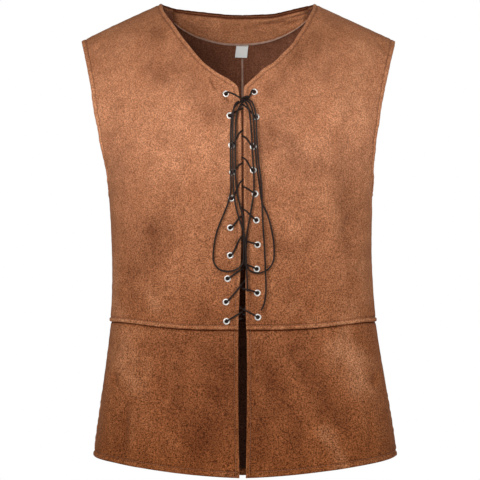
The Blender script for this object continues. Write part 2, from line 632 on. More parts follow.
KNOT_TURNS = [  # tilt, half-width, half-height, height over the cloth, first and last angle
    (0.5, 5.8, 2.4, KNOT_AHEAD + 0.2, -2.6, 2.9), (0.3, 5.0, 2.0, KNOT_AHEAD + 1.8, -0.5, 3.9),
    (1.35, 2.6, 2.2, KNOT_AHEAD + 0.4, 0.2, 5.6), (0.55, 3.6, 0.5, KNOT_AHEAD + 0.3, -2.4, 3.2),
]
KNOT_LACE = LACE * 1.05  # the lace bulges a little where it is pulled tight
turns = [knot_turn(*row) for row in KNOT_TURNS]
laces.append(place_piece(lace_curve("lace_knot", turns, KNOT_LACE), "lace", "bow_knot"))
print("knot turns:", len(turns))

# %% [markdown]
# ## Walls of cloth
# Each panel is a thin closed wall: an outer layer, an inner layer and the edge between them.
# A cloth simulation would need the vest to be held up by a body, and would move the eyelets
# and the seams. A grid of points on the form is steadier. The grid is close near the edges,
# where the sewing is, and wider in the middle. What the sewing does to the cloth depends only
# on the distance from an edge, so that distance is measured for every point first.

# %% Distance from an edge
AT_ONCE = 3000  # points measured at a time, to save memory


def run_along(line):
    """How far along a line each of its points is."""
    return np.concatenate([[0], np.cumsum(np.linalg.norm(np.diff(line, axis=0), axis=1))])


def near_line(points, line):
    """For every point, how far it is from a line, and how far along the line that is."""
    flat = points.reshape(-1, 3)
    run = run_along(line)
    away, where = np.empty(len(flat)), np.empty(len(flat))
    for start in range(0, len(flat), AT_ONCE):
        part = flat[start : start + AT_ONCE]
        closest = np.argmin(((part[:, None] - line[None]) ** 2).sum(-1), axis=1)
        best, at = np.full(len(part), 1e9), np.zeros(len(part))
        for step in (-1, 0):
            k = np.clip(closest + step, 0, len(line) - 2)
            a, b = line[k], line[k + 1]
            long = np.maximum(((b - a) ** 2).sum(-1), 1e-9)
            share = np.clip(((part - a) * (b - a)).sum(-1) / long, 0, 1)
            gap = np.linalg.norm(part - a - share[:, None] * (b - a), axis=1)
            at = np.where(gap < best, mix(run[k], run[k + 1], share), at)
            best = np.minimum(gap, best)
        away[start : start + AT_ONCE], where[start : start + AT_ONCE] = best, at
    return away.reshape(points.shape[:-1]), where.reshape(points.shape[:-1])


def ripple(where, wave, seed):
    """A steady uneven ripple along a line, from three waves that never meet in step."""
    turn = where / wave * 2 * math.pi
    slow = 0.7 * np.sin(turn * 0.618 + seed * 2.3)
    quick = 0.5 * np.sin(turn * 1.47 + seed * 4.1)
    return (np.sin(turn + seed) + slow + quick) / (1 + 0.7 + 0.5)


print("ripple over 30 mm of a seam:", ripple(np.arange(0, 31, 10), 17, 2.2).round(2))

# %% What sewing does to the cloth
ROLL, SEAM_ROLL = 0.8, 0.4  # how round a turned edge is, and the edge in a plain seam
VENT_STITCH, VENT_FACING = 6.0, 75  # from the edge of a side slit to its stitches and its facing's end
PUFF = {"turned": 1.0, "neck": 0.9, "lap": 1.5, "hem": 1.3}
RUBBED = {"turned": 0.16, "neck": 0.1, "lap": 0.62, "hem": 0.2}
FLAT_CORNER = 15  # a turned edge puffs up only this far away from a plain seam
PUFF_ROUND = 0.6  # how squarely a turned edge puffs up between its fold and its stitches


def sewn_relief(kind, offset, away, where, seed):
    """What sewing does near an edge: how far the cloth puffs up, sinks, and is pulled about."""
    if kind == "seam":
        pull = 0.28 * bell(away, 9) * ripple(where, 17, seed)
        return 0 * away, -0.55 * bell(away, 1.5), pull + 0.22 * (1 - ease(8, 11, away))
    if kind == "under":
        pull = 0.35 * bell(away - 9, 7) * ripple(where, 19, seed)
        return 0 * away, -1.1 * bell(away, 2.4), pull
    puff = PUFF[kind] * np.sin(math.pi * np.clip(away / offset, 0, 1)) ** PUFF_ROUND
    sunk = -0.9 * bell(away - offset, 1.1)
    return puff, sunk, 0.6 * bell(away - offset, 8) * ripple(where, 13, seed)


def sewn_tone(kind, offset, away, where, seed):
    """How rubbed (above 0) or shaded (below 0) the nap is near an edge."""
    if kind == "seam":
        return -0.5 * bell(away, 1.2)
    if kind == "under":
        return -1.3 * bell(away, 1.9) - 0.2 * bell(away, 7)
    crown = np.sin(math.pi * np.clip(away / offset, 0, 1)) ** PUFF_ROUND
    band = crown * (0.85 + 0.45 * ripple(where, 31, seed))
    edge = 0.4 * bell(away, 1.1) if kind == "turned" else -0.5 * bell(away, 0.8)
    line = -0.6 * bell(away - offset - 0.3, 1.0)
    return RUBBED[kind] * band + edge + line


def rolled(away, radius):
    """How far a layer falls towards the wall's middle where the edge is round."""
    near = np.clip(radius - away, 0, radius)
    return radius - np.sqrt(np.maximum(radius**2 - near**2, 0))


print("a turned edge falls", rolled(0, ROLL), "mm, and 0.4 mm in from it", round(float(rolled(0.4, ROLL)), 2))

# %% A panel from its grid
def from_inside(points):
    """Roughly the way out from the middle of the vest, and slightly up."""
    return points * (1, 1, 0) + (0, 0, 60)


def outward(points):
    """The direction straight out of each point of a grid."""
    normal = np.cross(np.gradient(points, axis=1), np.gradient(points, axis=0))
    flip = (normal * from_inside(points)).sum(-1) < 0
    normal = np.where(flip[..., None], -normal, normal)
    normal[..., 0] = np.where(np.abs(points[..., 0]) < SEAM, 0, normal[..., 0])
    normal[..., 1] = np.where(np.abs(points[..., 1]) < SEAM, 0, normal[..., 1])
    return normal / np.linalg.norm(normal, axis=-1, keepdims=True)


patch = over([(x, down, 0) for down in (310, 300, 290) for x in (30, 40, 50)]).reshape(3, 3, 3)
print("straight out of the front, 40 mm from its middle:", outward(patch)[1, 1].round(2))

# %% How the sewing of all the edges adds up
LAP_PRESSED = 1.2  # the lapped edge is pressed flat where it is caught in the side seam
LAP_CAUGHT = (4, 30)  # from the side seam, between which distances the lap comes free of it
LAP_EDGE = 12  # how wide the pressed part of the lapped edge is
TURNED_PAST = 2  # a turned edge reaches this far past its stitches
HOLE_DIP, HOLE_RING, HOLE_SOFT = 0.3, 1.2, 2.2  # an eyelet presses a shallow ring into the cloth
SINK_TONE = 12.0  # cloth pushed in by so many millimetres is as shaded as it gets
WRINKLE_TONE = 0.35  # how much lighter a wrinkle on the inside is for each millimetre of height
NECK_SHADE, NECK_SHADE_WIDE = 1.8, 2.6  # the back neckline's rolled edge shades its own inside


def brushed(face, x, down):
    """The tone of the strokes in the nap, with edges that wander as a hand does."""
    wander = 6 * np.sin(down / 17 + x / 43)
    wander = wander + 4 * np.sin(down / 7.3 - x / 11) + 2.5 * np.sin(x / 4.1 + down / 29)
    return drawn(STROKES[face], x + wander, down + 9 * np.sin(x / 13 + down / 61))


def edge_fall(kind, away, thick):
    """How far both layers fall towards each other at an edge. One that lies under does not."""
    if kind == "under":
        return 0
    return rolled(away, min(SEAM_ROLL if kind == "seam" else ROLL, thick / 2))


def sewn(edges, near, thick, free):
    """What all the edges of a panel do to it: the relief, the puffed parts, the fall and the tone."""
    puffed, relief, fall, tone = (np.zeros(near[0][0].shape) for _ in range(4))
    for (kind, offset, _, seed), (away, where) in zip(edges, near):
        puff, sunk, pull = sewn_relief(kind, offset, away, where, seed)
        puffed = np.maximum(puffed, puff * free)
        relief = relief + sunk + pull * (free if kind in PUFF else 1)
        fall = np.maximum(fall, edge_fall(kind, away, thick))
        tone = tone + sewn_tone(kind, offset, away, where, seed)
    return relief, puffed, fall, tone


def turned_edges(edges, fields):
    """Where the cloth's right side shows on the inside, because the edge is turned in."""
    turned_in = np.zeros(fields[0].shape, bool)
    for (kind, offset, *_), away in zip(edges, fields):
        if kind in PUFF:
            turned_in |= away < (VENT_FACING if offset == VENT_STITCH else offset + TURNED_PAST)
    return turned_in


def panel(name, face, points, edges, thick=CLOTH, lift=0.0, holes=(), wrinkle=0.0):
    """A closed wall of cloth. edges are (kind, stitch offset, line, seed) and holes (point, radius)."""
    normal = outward(points)
    x, down = points[..., 0], -points[..., 2]
    sink = pushed_in(face, x, down) + uneven(x, points[..., 1], down) + wrinkle
    near = [near_line(points, line) for _, _, line, _ in edges]
    fields = [away for away, _ in near]
    seams = [away for away, edge in zip(fields, edges) if edge[0] == "seam"]
    to_seam = np.min(seams, axis=0) if seams else np.full(sink.shape, 1e9)
    relief, puffed, fall, tone = sewn(edges, near, thick, ease(1, FLAT_CORNER, to_seam))
    tones = tone + brushed(face, x, down) - sink / SINK_TONE, tone + wrinkle * WRINKLE_TONE
    for point, radius in holes:
        from_hole = np.linalg.norm(points - point, axis=-1)
        relief = relief - HOLE_DIP * bell(from_hole - radius - HOLE_RING, HOLE_SOFT)
    for (kind, *_), away in zip(edges, fields):
        if kind == "lap":
            caught = 1 - ease(*LAP_CAUGHT, to_seam)
            relief = relief - LAP_PRESSED * bell(away, LAP_EDGE) * caught
        if kind == "neck":
            tones[1][...] -= NECK_SHADE * bell(away, NECK_SHADE_WIDE)
    relief = relief + puffed
    outer = points + normal * (lift - sink + relief - fall)[..., None]
    inner = points + normal * (lift - sink - thick + fall)[..., None]
    piece = wall_mesh(name, outer, inner, tones, holes, turned_edges(edges, fields))
    return piece, outer, normal, fields


print("kinds of turned edges:", list(PUFF))

# %% The mesh of a wall
def smooth_mesh(name, points, faces):
    """A mesh from points in millimetres, shaded smooth."""
    mesh = bpy.data.meshes.new(name)
    mesh.from_pydata((points * MM).tolist(), [], faces)
    mesh.shade_smooth()
    return mesh


def wall_mesh(name, outer, inner, tones, holes=(), turned_in=None):
    """The mesh of two layers of a grid, joined round every edge, with holes cut through.

    tones are the tone of the nap on the outer and on the inner layer. Where turned_in says so,
    the inner layer shows the cloth's right side, because it is the edge that is turned in."""
    rows, columns = outer.shape[:2]
    count = rows * columns
    number = np.arange(count).reshape(rows, columns)
    quads = [number[:-1, :-1], number[:-1, 1:], number[1:, 1:], number[1:, :-1]]
    quads = np.stack(quads, axis=-1).reshape(-1, 4)
    flat = outer.reshape(-1, 3)
    middle = flat[quads].mean(axis=1)
    for point, radius in holes:
        keep = np.linalg.norm(middle - point, axis=1) > radius
        quads, middle = quads[keep], middle[keep]
    a, b, d = flat[quads[:, 0]], flat[quads[:, 1]], flat[quads[:, 3]]
    if (np.cross(b - a, d - a) * from_inside(middle)).sum() < 0:
        quads = quads[:, ::-1]
    ways = np.concatenate([quads[:, [k, (k + 1) % 4]] for k in range(4)])
    keys = ways[:, 0] * (2 * count) + ways[:, 1]
    back = ways[:, 1] * (2 * count) + ways[:, 0]
    border = ways[~np.isin(keys, back)]
    rim = np.stack([border[:, 1], border[:, 0], border[:, 0] + count, border[:, 1] + count], axis=-1)
    faces = np.concatenate([quads, quads[:, ::-1] + count, rim])
    used, faces = np.unique(faces, return_inverse=True)
    faces = faces.reshape(-1, 4)
    mesh = smooth_mesh(name, np.concatenate([flat, inner.reshape(-1, 3)])[used], faces.tolist())
    right_side = np.zeros(len(quads), bool)
    if turned_in is not None:
        right_side = turned_in.ravel()[quads].all(axis=1)
    finish = np.concatenate([0 * right_side, np.where(right_side, 0, 1), np.zeros(len(rim), int)])
    mesh.polygons.foreach_set("material_index", finish.astype(np.int32))
    mark = mesh.attributes.new("nap_tone", "FLOAT", "POINT")
    mark.data.foreach_set("value", np.concatenate([layer.ravel() for layer in tones])[used])
    print(f"{name}: {len(faces)} faces")
    return add_object(name, mesh)

# %% [markdown]
# ## The upper panels
# The fronts run from the shoulder seam to the waist seam. Their front edge is turned in and
# stitched, and so are the neckline and the armhole. The backs meet in a seam down the middle.
# The lower edge of each panel is turned and stitched over the top of the skirt.

# %% Where the panels end
def waist_rise(turn):
    """The waist seam lies lowest at the middle."""
    return CHEST_DOWN - WAIST_SIDE_DOWN - WAIST_DROP * (1 - ease(WAIST_FLAT, WAIST_LEVEL, turn))


def hem_rise(face, turn):
    """The hem also lies lowest at the middle, and lower behind than in front."""
    across = np.sin(turn) ** (2 / SQUARE)
    return CHEST_DOWN - HEM_SIDE_DOWN - HEM_DROP[face] * (1 - across**HEM_CURVE)


def front_edge(rise, side):
    """The turn of the front edge and, above the lacing, of the neckline."""
    neck = down_at(0 * rise, rise) <= FRONT_NECK_DOWN
    column = 1 if side < 0 else 2

    def past(turn):
        down = down_at(turn, rise)
        edge = np.where(neck, along(NECKLINE, column, down), along(FRONT_GAP, column, down))
        return out_at(turn, rise) - edge

    return solve(0 * rise, 0 * rise + 1.4, past)


def outer_edge(face, rise):
    """The turn of the side seam and, above the underarm, of the armhole's edge."""
    middle, height = (UNDERARM_DOWN + SHOULDER_DROP) / 2, (UNDERARM_DOWN - SHOULDER_DROP) / 2

    def past(turn):
        down = down_at(turn, rise)
        power = np.where(down < middle, ARMHOLE_ROUND_TOP, ARMHOLE_ROUND)
        away = np.minimum(1, np.abs(down - middle) / height)
        edge = ARMHOLE_DEPTH * (1 - away**power) ** (1 / power)
        return edge - depth_at(face, turn, rise)

    hole = solve(0 * rise + 0.3, 0 * rise + QUARTER, past)
    hole = np.where(rise > ARCH - 0.01, turn_for(TIP_HALF, ARCH), hole)
    return np.where(rise <= CHEST_DOWN - UNDERARM_DOWN, QUARTER, hole)


def back_top(turn):
    """The rise of the back neckline, or of the shoulder seam beyond it."""
    def past(rise):
        edge = BACK_NECK_DOWN * (1 - np.minimum(1, out_at(turn, rise) / NECK_HALF) ** 2)
        return edge - down_at(turn, rise)

    lower = solve(0 * turn, 0 * turn + ARCH, past)
    return np.where(out_at(turn, ARCH) >= NECK_HALF, ARCH, lower)


for face in ("front", "back"):
    print(f"hem at the middle of the {face}:", round(CHEST_DOWN - float(hem_rise(face, 0.0)), 1), "mm down")

# %% Close grids at the edges
# distances from an edge, in millimetres: close where the sewing is
NEAR_EDGE = [0, 0.12, 0.35, 0.7, 1.1, 1.7, 2.4, 3.2, 4.0, 4.8, 5.6, 6.4, 7.2, 8.2, 9.4, 10.8, 12.4, 14.2]


def close_at_ends(low, high, width, pitch, near_low=NEAR_EDGE, near_high=NEAR_EDGE):
    """Shares from low to high, close together at both ends of a width in millimetres."""
    first, last = np.array(near_low) / width, 1 - np.array(near_high)[::-1] / width
    between = max(2, round((last[0] - first[-1]) * width / pitch))
    middle = np.linspace(first[-1], last[0], between + 1)[1:-1]
    return mix(low, high, np.concatenate([first, middle, last]))


print("lines close to an edge:", len(NEAR_EDGE), "within", NEAR_EDGE[-1], "mm")

# %% Front panels
WAIST_LOW = float(waist_rise(QUARTER))
UNDERARM_RISE = CHEST_DOWN - UNDERARM_DOWN
FINE = 1.9  # the step of the grids, in millimetres
FRONT_WIDE = 190  # about how wide a front is, to space the columns of its grid
WAIST_SETTLE = 190  # over this height the rows level out from the waist seam's curve


def front_upper_grid(side, share, rise):
    """A front from its front edge (share 0) to its side seam and armhole (share 1)."""
    turn = mix(front_edge(rise, side), outer_edge("front", rise), share)
    settle = 1 - ease(WAIST_LOW, WAIST_LOW + WAIST_SETTLE, rise)
    lowered = rise + (waist_rise(turn) - WAIST_LOW) * settle
    return body_point("front", side, turn, lowered)


def rows_of_rise():
    """Rises of the front's rows: even over the body, closer where the neckline turns."""
    low = close_at_ends(WAIST_LOW, 0, -WAIST_LOW, FINE * 0.8, NEAR_EDGE, [0])
    high = close_at_ends(0, ARCH, ARCH, FINE * 0.8, [0], NEAR_EDGE)
    return np.concatenate([low, high[1:]])[:, None]


stitch_lines = []  # (points, outward directions) of every row of stitches


def stitches_at(outer, normal, fields, edge, offset, others=(), axis=1, low_first=True):
    """A row of stitches at an offset from one edge, taken across the grid row by row.

    The row ends where it comes nearer than it may to one of the other edges."""
    away = fields[edge] if axis == 1 else fields[edge].T
    grid = outer if axis == 1 else outer.transpose(1, 0, 2)
    out = normal if axis == 1 else normal.transpose(1, 0, 2)
    if not low_first:
        away, grid, out = away[:, ::-1], grid[:, ::-1], out[:, ::-1]
    past = away >= offset
    k = np.argmax(past, axis=1)
    good = past.any(axis=1) & (k > 0)
    row = np.arange(len(away))
    share = (offset - away[row, k - 1]) / np.maximum(away[row, k] - away[row, k - 1], 1e-9)
    line = mix(grid[row, k - 1], grid[row, k], share[:, None])
    lean = mix(out[row, k - 1], out[row, k], share[:, None])
    for other, least in others:
        field = fields[other] if axis == 1 else fields[other].T
        if not low_first:
            field = field[:, ::-1]
        good &= field[row, k] > least
    return line[good], lean[good]


SIDES = ((-1, "left"), (1, "right"))
AT_EYELETS = NEAR_EDGE + [15.4, 16.6, 17.8, 19, 20.2, 21.4, 22.6, 23.8, 25, 26.4, 28]
front_rise = rows_of_rise()
front_share = close_at_ends(0, 1, FRONT_WIDE, FINE, AT_EYELETS)[None, :]
holes_of = {}
for side, word in SIDES:
    spots = np.array([eyelet_place(row, side) for row in range(len(EYELETS))])
    holes_of[word] = on_front(side * spots[:, 0], spots[:, 1])

print("front grid:", front_rise.size, "rows of", front_share.size)

# %% How large the cloth was cut
def measured(points):
    """Widest and longest line of a grid, and its area, in metres."""
    across = np.linalg.norm(np.diff(points, axis=1), axis=-1).sum(axis=1).max()
    length = np.linalg.norm(np.diff(points, axis=0), axis=-1).sum(axis=0).max()
    du, dv = points[:-1, 1:] - points[:-1, :-1], points[1:, :-1] - points[:-1, :-1]
    area = np.linalg.norm(np.cross(du, dv), axis=-1).sum()
    return across * MM, length * MM, area * MM * MM


def declare_sheet(piece, points):
    """Says how large the cloth was cut, with what is turned in along its edges."""
    across, length, area = measured(points)


cloth_pieces = []
panels = {}  # each panel's outer layer and its outward directions

# %% Cut the fronts
def cut_panel(name, face, points, edges, node, sewn_to, rows, **cut):
    """One suede panel of the vest, the frame's solid it stands for, and its rows of stitches.

    rows are (edge, distance from it, how near it may come to other edges, how it is read)."""
    piece, *grid, fields = panel(f"suede_{name}", face, points, edges, **cut)
    place_piece(piece, "suede", node)
    declare_sheet(piece, points)
    cloth_pieces.append(piece)
    panels[name] = grid
    for edge, offset, others, way in rows:
        stitch_lines.append(stitches_at(*grid, fields, edge, offset, others, **way))


# how a row of stitches is read off a grid: column by column, and from the grid's far end
ACROSS, FROM_END = {"axis": 0}, {"low_first": False}
FRONT_ROW, ARMHOLE_ROW, LAP_ROW = 5.5, 7.0, 6.5  # from an edge to its row of stitches
EYELET_HOLE = 3.6  # the radius of the hole that is punched for an eyelet

for side, word in SIDES:
    base = front_upper_grid(side, front_share, front_rise)
    armhole = front_rise[:, 0] >= UNDERARM_RISE
    edges = [
        ("turned", FRONT_ROW, base[:, 0], 0.5 + side),
        ("turned", ARMHOLE_ROW, base[armhole, -1], 1.7 + side),
        ("seam", 0, base[~armhole, -1], 2.2 + side),
        ("lap", LAP_ROW, base[0], 3.1 + side),
        ("seam", 0, base[-1], 4.4 + side),
    ]
    holes = [(point, EYELET_HOLE) for point in holes_of[word][0]]
    cut_panel(f"front_{word}", "front", base, edges, f"front_upper_{word}", [f"back_upper_{word}"], [
        (0, FRONT_ROW, [(3, 3), (4, 1)], {}),
        (1, ARMHOLE_ROW, [(4, 1), (2, 3)], FROM_END),
        (3, LAP_ROW, [(0, 3), (2, 2)], ACROSS),
    ], holes=holes)

# %% [markdown]
# ## The backs
# The two backs are cut like the fronts, but they meet in a plain seam down the middle and end
# at the top in a shallow neckline. The same form is asked for its other face.

# %% Cut the backs
TIP_TURN = float(turn_for(TIP_HALF, ARCH))  # the shoulder's tip, as a turn round the body
NECK_SHARE = float(turn_for(NECK_HALF, ARCH)) / TIP_TURN  # where the neckline meets the shoulder


def back_point(share, height):
    """A place on the back: share -1 to 1 from side to side, height 0 to 1 from waist to top."""
    turn = np.abs(share) * outer_edge("back", mix(WAIST_LOW, ARCH, height))
    lowered = (ARCH - back_top(np.abs(share) * TIP_TURN)) * height**3
    rise = mix(waist_rise(turn), ARCH, height) - lowered
    return body_point("back", np.sign(share), turn, rise)


NECK_WIDE, SHOULDER_WIDE, BACK_HIGH = 116, 118, 500  # about how large a back is, for its grid
NECK_ROW = 5.0  # the neckline's stitches, just outside the line where its cloth sinks
back_share = np.concatenate([
    close_at_ends(0, NECK_SHARE, NECK_WIDE, FINE * 1.3, NEAR_EDGE, [0]),
    close_at_ends(NECK_SHARE, 1, SHOULDER_WIDE, FINE * 1.3, [0], NEAR_EDGE)[1:],
])[None, :]
back_height = close_at_ends(0, 1, BACK_HIGH, FINE * 1.4)[:, None]
for side, word in SIDES:
    base = back_point(side * back_share, back_height)
    base[..., 0] += side * SEAM / 2
    armhole = mix(WAIST_LOW, ARCH, back_height[:, 0]) >= UNDERARM_RISE
    neck, shoulder = back_share[0] <= NECK_SHARE + 1e-6, back_share[0] >= NECK_SHARE - 1e-6
    edges = [
        ("seam", 0, base[:, 0], 0.9 + side),
        ("turned", ARMHOLE_ROW, base[armhole, -1], 2.0 + side),
        ("seam", 0, base[~armhole, -1], 2.2 + side),
        ("lap", LAP_ROW, base[0], 3.4 + side),
        ("neck", NECK_ROW + 0.2, base[-1, neck], 5.0 + side),
        ("seam", 0, base[-1, shoulder], 4.4 + side),
    ]
    cut_panel(f"back_{word}", "back", base, edges, f"back_upper_{word}", [f"front_upper_{word}"], [
        (1, ARMHOLE_ROW, [(5, 1), (2, 3)], FROM_END),
        (3, LAP_ROW, [(0, 2), (2, 2)], ACROSS),
        (4, NECK_ROW, [(0, 1), (5, 2)], ACROSS | FROM_END),
    ])
print("back grid:", back_height.size, "rows of", back_share.size)

# %% [markdown]
# ## The skirt
# Three flared panels hang from the waist seam: one on each side in front and one wide one
# behind. Their top edge lies under the lap of the upper panels. The hem is turned up and
# stitched, and the side seams end in short open slits. At a slit the front's stitched edge
# stands a little inside the back's edge.

# %% Cut the skirt
UNDER = -(CLOTH + SEAM)  # the skirt lies under the upper panels
SEAM_ROW = 0.96  # the share of the skirt's height where the waist seam crosses it
HEM_STITCH = 8.5
VENT_ROW = VENT_STITCH - 1.0  # the slit's stitches, just outside the line where its cloth sinks
SKIRT_HIGH, SKIRT_WIDE, BACK_SKIRT_HALF = 225, 260, 262  # about how large the skirt's panels are


def skirt_rise(face, turn, height):
    """Rises from the hem (height 0) over the waist seam to the edge under the lap (1)."""
    waist = waist_rise(turn)
    above = mix(waist, waist + LAP, (height - SEAM_ROW) / (1 - SEAM_ROW))
    return np.where(height > SEAM_ROW, above, mix(hem_rise(face, turn), waist, height / SEAM_ROW))


AT_LAP = [0, 4, 6, 7, 7.8, 8.5, 9.2, 10, 11, 12.2, 13.6]
skirt_height = close_at_ends(0, 1, SKIRT_HIGH, FINE * 1.2, NEAR_EDGE, AT_LAP)[:, None]
skirt_share = close_at_ends(0, 1, SKIRT_WIDE, FINE * 1.25)[None, :]
for side, word in SIDES:
    edge_turn = front_edge(skirt_rise("front", 0.0, skirt_height), side)
    turn = mix(edge_turn, QUARTER, skirt_share)
    base = body_point("front", side, turn, skirt_rise("front", turn, skirt_height), skirt=True)
    top = turn[-1:]
    waist = body_point("front", side, top, skirt_rise("front", top, SEAM_ROW))[0]
    vent = -base[:, -1, 2] > VENT_DOWN
    edges = [
        ("turned", FRONT_ROW, base[:, 0], 0.2 + side),
        ("turned", VENT_STITCH, base[vent, -1], 1.1 + side),
        ("seam", 0, base[~vent, -1], 2.6 + side),
        ("hem", HEM_STITCH, base[0], 3.7 + side),
        ("under", 0, waist, 4.9 + side),
    ]
    cut_panel(f"skirt_{word}", "front", base, edges, f"front_skirt_{word}", [f"front_upper_{word}"], [
        (0, FRONT_ROW, [(3, 2)], {}),
        (1, VENT_ROW, [(3, 2)], FROM_END),
        (3, HEM_STITCH, [(0, 2), (1, 2)], ACROSS),
    ], lift=UNDER)

# %% Cut the skirt's back
half_share = close_at_ends(0, 1, BACK_SKIRT_HALF, FINE * 1.6, [0], NEAR_EDGE)
both = np.concatenate([-half_share[:0:-1], half_share])[None, :]
turn = np.abs(both) * QUARTER + 0 * skirt_height
base = body_point("back", np.sign(both), turn, skirt_rise("back", turn, skirt_height))
top = turn[-1:]
waist = body_point("back", np.sign(both), top, skirt_rise("back", top, SEAM_ROW))[0]
vent = -base[:, -1, 2] > VENT_DOWN
edges = [
    ("turned", VENT_STITCH, base[vent, 0], 0.3),
    ("turned", VENT_STITCH, base[vent, -1], 1.3),
    ("seam", 0, base[~vent, 0], 2.3),
    ("seam", 0, base[~vent, -1], 2.9),
    ("hem", HEM_STITCH, base[0], 3.6),
    ("under", 0, waist, 4.2),
]
BACKS = ["back_upper_left", "back_upper_right"]
cut_panel("skirt_back", "back", base, edges, "back_skirt", BACKS, [
    (4, HEM_STITCH, [(0, 2), (1, 2)], ACROSS),
    (0, VENT_ROW, [(4, 2)], {}),
    (1, VENT_ROW, [(4, 2)], FROM_END),
], lift=UNDER)

# %% [markdown]
# ## The neck facing and the label
# Inside the back neck a crescent of the same suede covers the raw edge. Its lower edge is
# bound with a narrow beige tape, and it is a little too long for the curve, so it wrinkles
# near the shoulders. A small bare label of white tape hangs below its middle. Both are cut
# from the form as the panels are, and lie a millimetre inside the back.

# %% Cut the neck facing
FACING_DEEP, FACING_CLOTH, FACING_EASE = 43.8, 1.0, 0.9
FACING_LEFT, FACING_RIGHT = (NECK_SHARE * (1 - (1 / 7) ** 1.5) * part for part in (0.9, 0.98))
FACING_MIDDLE = -5  # where the facing's lower edge is lowest
FACING_RISE_AT, FACING_RISE_BY, FACING_POWER = 66, 12, 2.4  # its curve up to both ends
FACING_TOP = 0.93  # the facing ends just below the neckline's edge, which rolls over it
FACING_HIGH, FACING_STEP, FACING_COLUMNS = 47, 1.8, 127
INSIDE = UNDER - FACING_EASE
CLOSE = [0, 0.3, 0.6, 1.2, 2]  # distances from the edge of a small piece

facing_share = np.linspace(-FACING_LEFT, FACING_RIGHT, FACING_COLUMNS)[None, :]


def over_facing(height):
    """How far a height on the back lies above the facing's lower edge, in each column."""
    point = back_point(facing_share, height)
    away = np.abs(point[..., 0] - FACING_MIDDLE) / FACING_RISE_AT
    return BACK_NECK_DOWN + FACING_DEEP - FACING_RISE_BY * away**FACING_POWER + point[..., 2]


facing_low = solve(0.5 + 0 * facing_share, 0.985 + 0 * facing_share, over_facing)
facing_up = close_at_ends(0, 1, FACING_HIGH, FACING_STEP, CLOSE, CLOSE)[:, None]
base = back_point(facing_share, mix(facing_low, 1, facing_up * FACING_TOP))
FACING_SUNK = 2.2  # the facing's ends bend away under the shoulder seams
WRINKLES = [  # points (x, depth below the neck points), width, height towards the wearer
    ((12, 21), (60, 15), 2.0, 1.5), ((20, 26), (72, 20), 1.8, -1.5), ((46, 16), (94, 9), 2.0, 1.5),
    ((56, 27), (98, 17), 1.8, -1.4), ((60, 34), (98, 22), 2.4, 1.2), ((74, 16), (100, 10), 1.6, -1.6),
    ((-96, 14), (-58, 30), 2.6, 0.9), ((-34, 44), (8, 47), 3.4, 0.6), ((14, 36), (46, 40), 3.0, -0.7),
    ((-88, 24), (-50, 44), 2.6, -0.7), ((-60, 18), (-10, 24), 4.0, 0.8), ((0, 30), (34, 30), 2.4, -0.7),
]
wrinkle = np.zeros(base.shape[:2])
for start, end, wide, high in WRINKLES:
    away, share = from_line(base[..., 0], -base[..., 2], start, end)
    wrinkle += high * bell(away, wide) * np.sin(math.pi * share) ** STROKE_END
to_end = np.abs(facing_share) / np.where(facing_share < 0, FACING_LEFT, FACING_RIGHT)
wrinkle -= FACING_SUNK * ease(0.9, 1, to_end)
edges = [("turned", 3.0, base[0], 0.4), ("neck", 2.0, base[-1], 1.9)]
facing, facing_outer, facing_normal, _ = panel(
    "neck_facing_suede", "back", base, edges, FACING_CLOTH, INSIDE, wrinkle=wrinkle)
place_piece(facing, "suede_facing", "neck_facing")
declare_sheet(facing, base)

# %% The tape along the facing's lower edge
TAPE_WIDE, TAPE_THICK, TAPE_ROLL = 3.2, 0.5, 0.25
TAPE_BELOW = 0.5  # the tape stands this far past the facing's edge
TAPE_OVER = 0.1  # and this far off its face
facing_seen = facing_outer - facing_normal * (FACING_CLOTH + TAPE_OVER)
upward = facing_seen[4] - facing_seen[0]
upward /= np.linalg.norm(upward, axis=-1, keepdims=True)
spread = np.linspace(-TAPE_BELOW, TAPE_WIDE - TAPE_BELOW, 7)[:, None, None]
tape_points = facing_seen[0][None] + upward[None] * spread
tape_away = np.minimum(spread + TAPE_BELOW, TAPE_WIDE - TAPE_BELOW - spread)[..., 0]
tape_away = tape_away + 0 * tape_points[..., 0]
tape_high = TAPE_THICK - rolled(tape_away, TAPE_ROLL)
tape_inner = tape_points - facing_normal[0] * tape_high[..., None]
tape = wall_mesh("facing_tape", tape_points, tape_inner, [np.ones(tape_away.shape)] * 2)
place_piece(tape, "label_tape")
print("tape:", round(length_of(tape_points[0])), "mm")

# %% The bare label
LABEL_LEFT, LABEL_RIGHT, LABEL_TOP, LABEL_BOTTOM, LABEL_THICK = -8.4, 10.0, 54.8, 73.6, 0.8
LABEL_SKEW, LABEL_SWING = 0.8, 2.6  # how far it hangs askew, down and to one side
LABEL_LIFT, LABEL_WAVE = 1.6, 0.25  # how far its free end stands off, and how wavy it is
label_across = np.linspace(0, 1, 25)[None, :]
label_up = np.concatenate([[0, 0.01, 0.03], np.linspace(0.06, 1, 20)])[:, None]
label_down = mix(LABEL_BOTTOM, LABEL_TOP, label_up) + LABEL_SKEW * (label_across - 0.5)
label_rise = solve(
    0 * label_down, 0 * label_down + ARCH, lambda rise: label_down - down_at(0 * rise, rise))
label_out = mix(LABEL_LEFT, LABEL_RIGHT, label_across) - LABEL_SWING * (1 - label_up)
base = body_point("back", np.sign(label_out), turn_for(np.abs(label_out), label_rise), label_rise)
lifted = LABEL_LIFT * (1 - label_up) ** 2 + LABEL_WAVE * np.sin(label_across * 5) + 0 * label_down
edges = [("turned", 0.9, base[0], 0.1)]
label, label_outer, label_normal, _ = panel(
    "label_tape", "back", base, edges, LABEL_THICK, INSIDE, wrinkle=lifted)
place_piece(label, "label_tape", "neck_label")

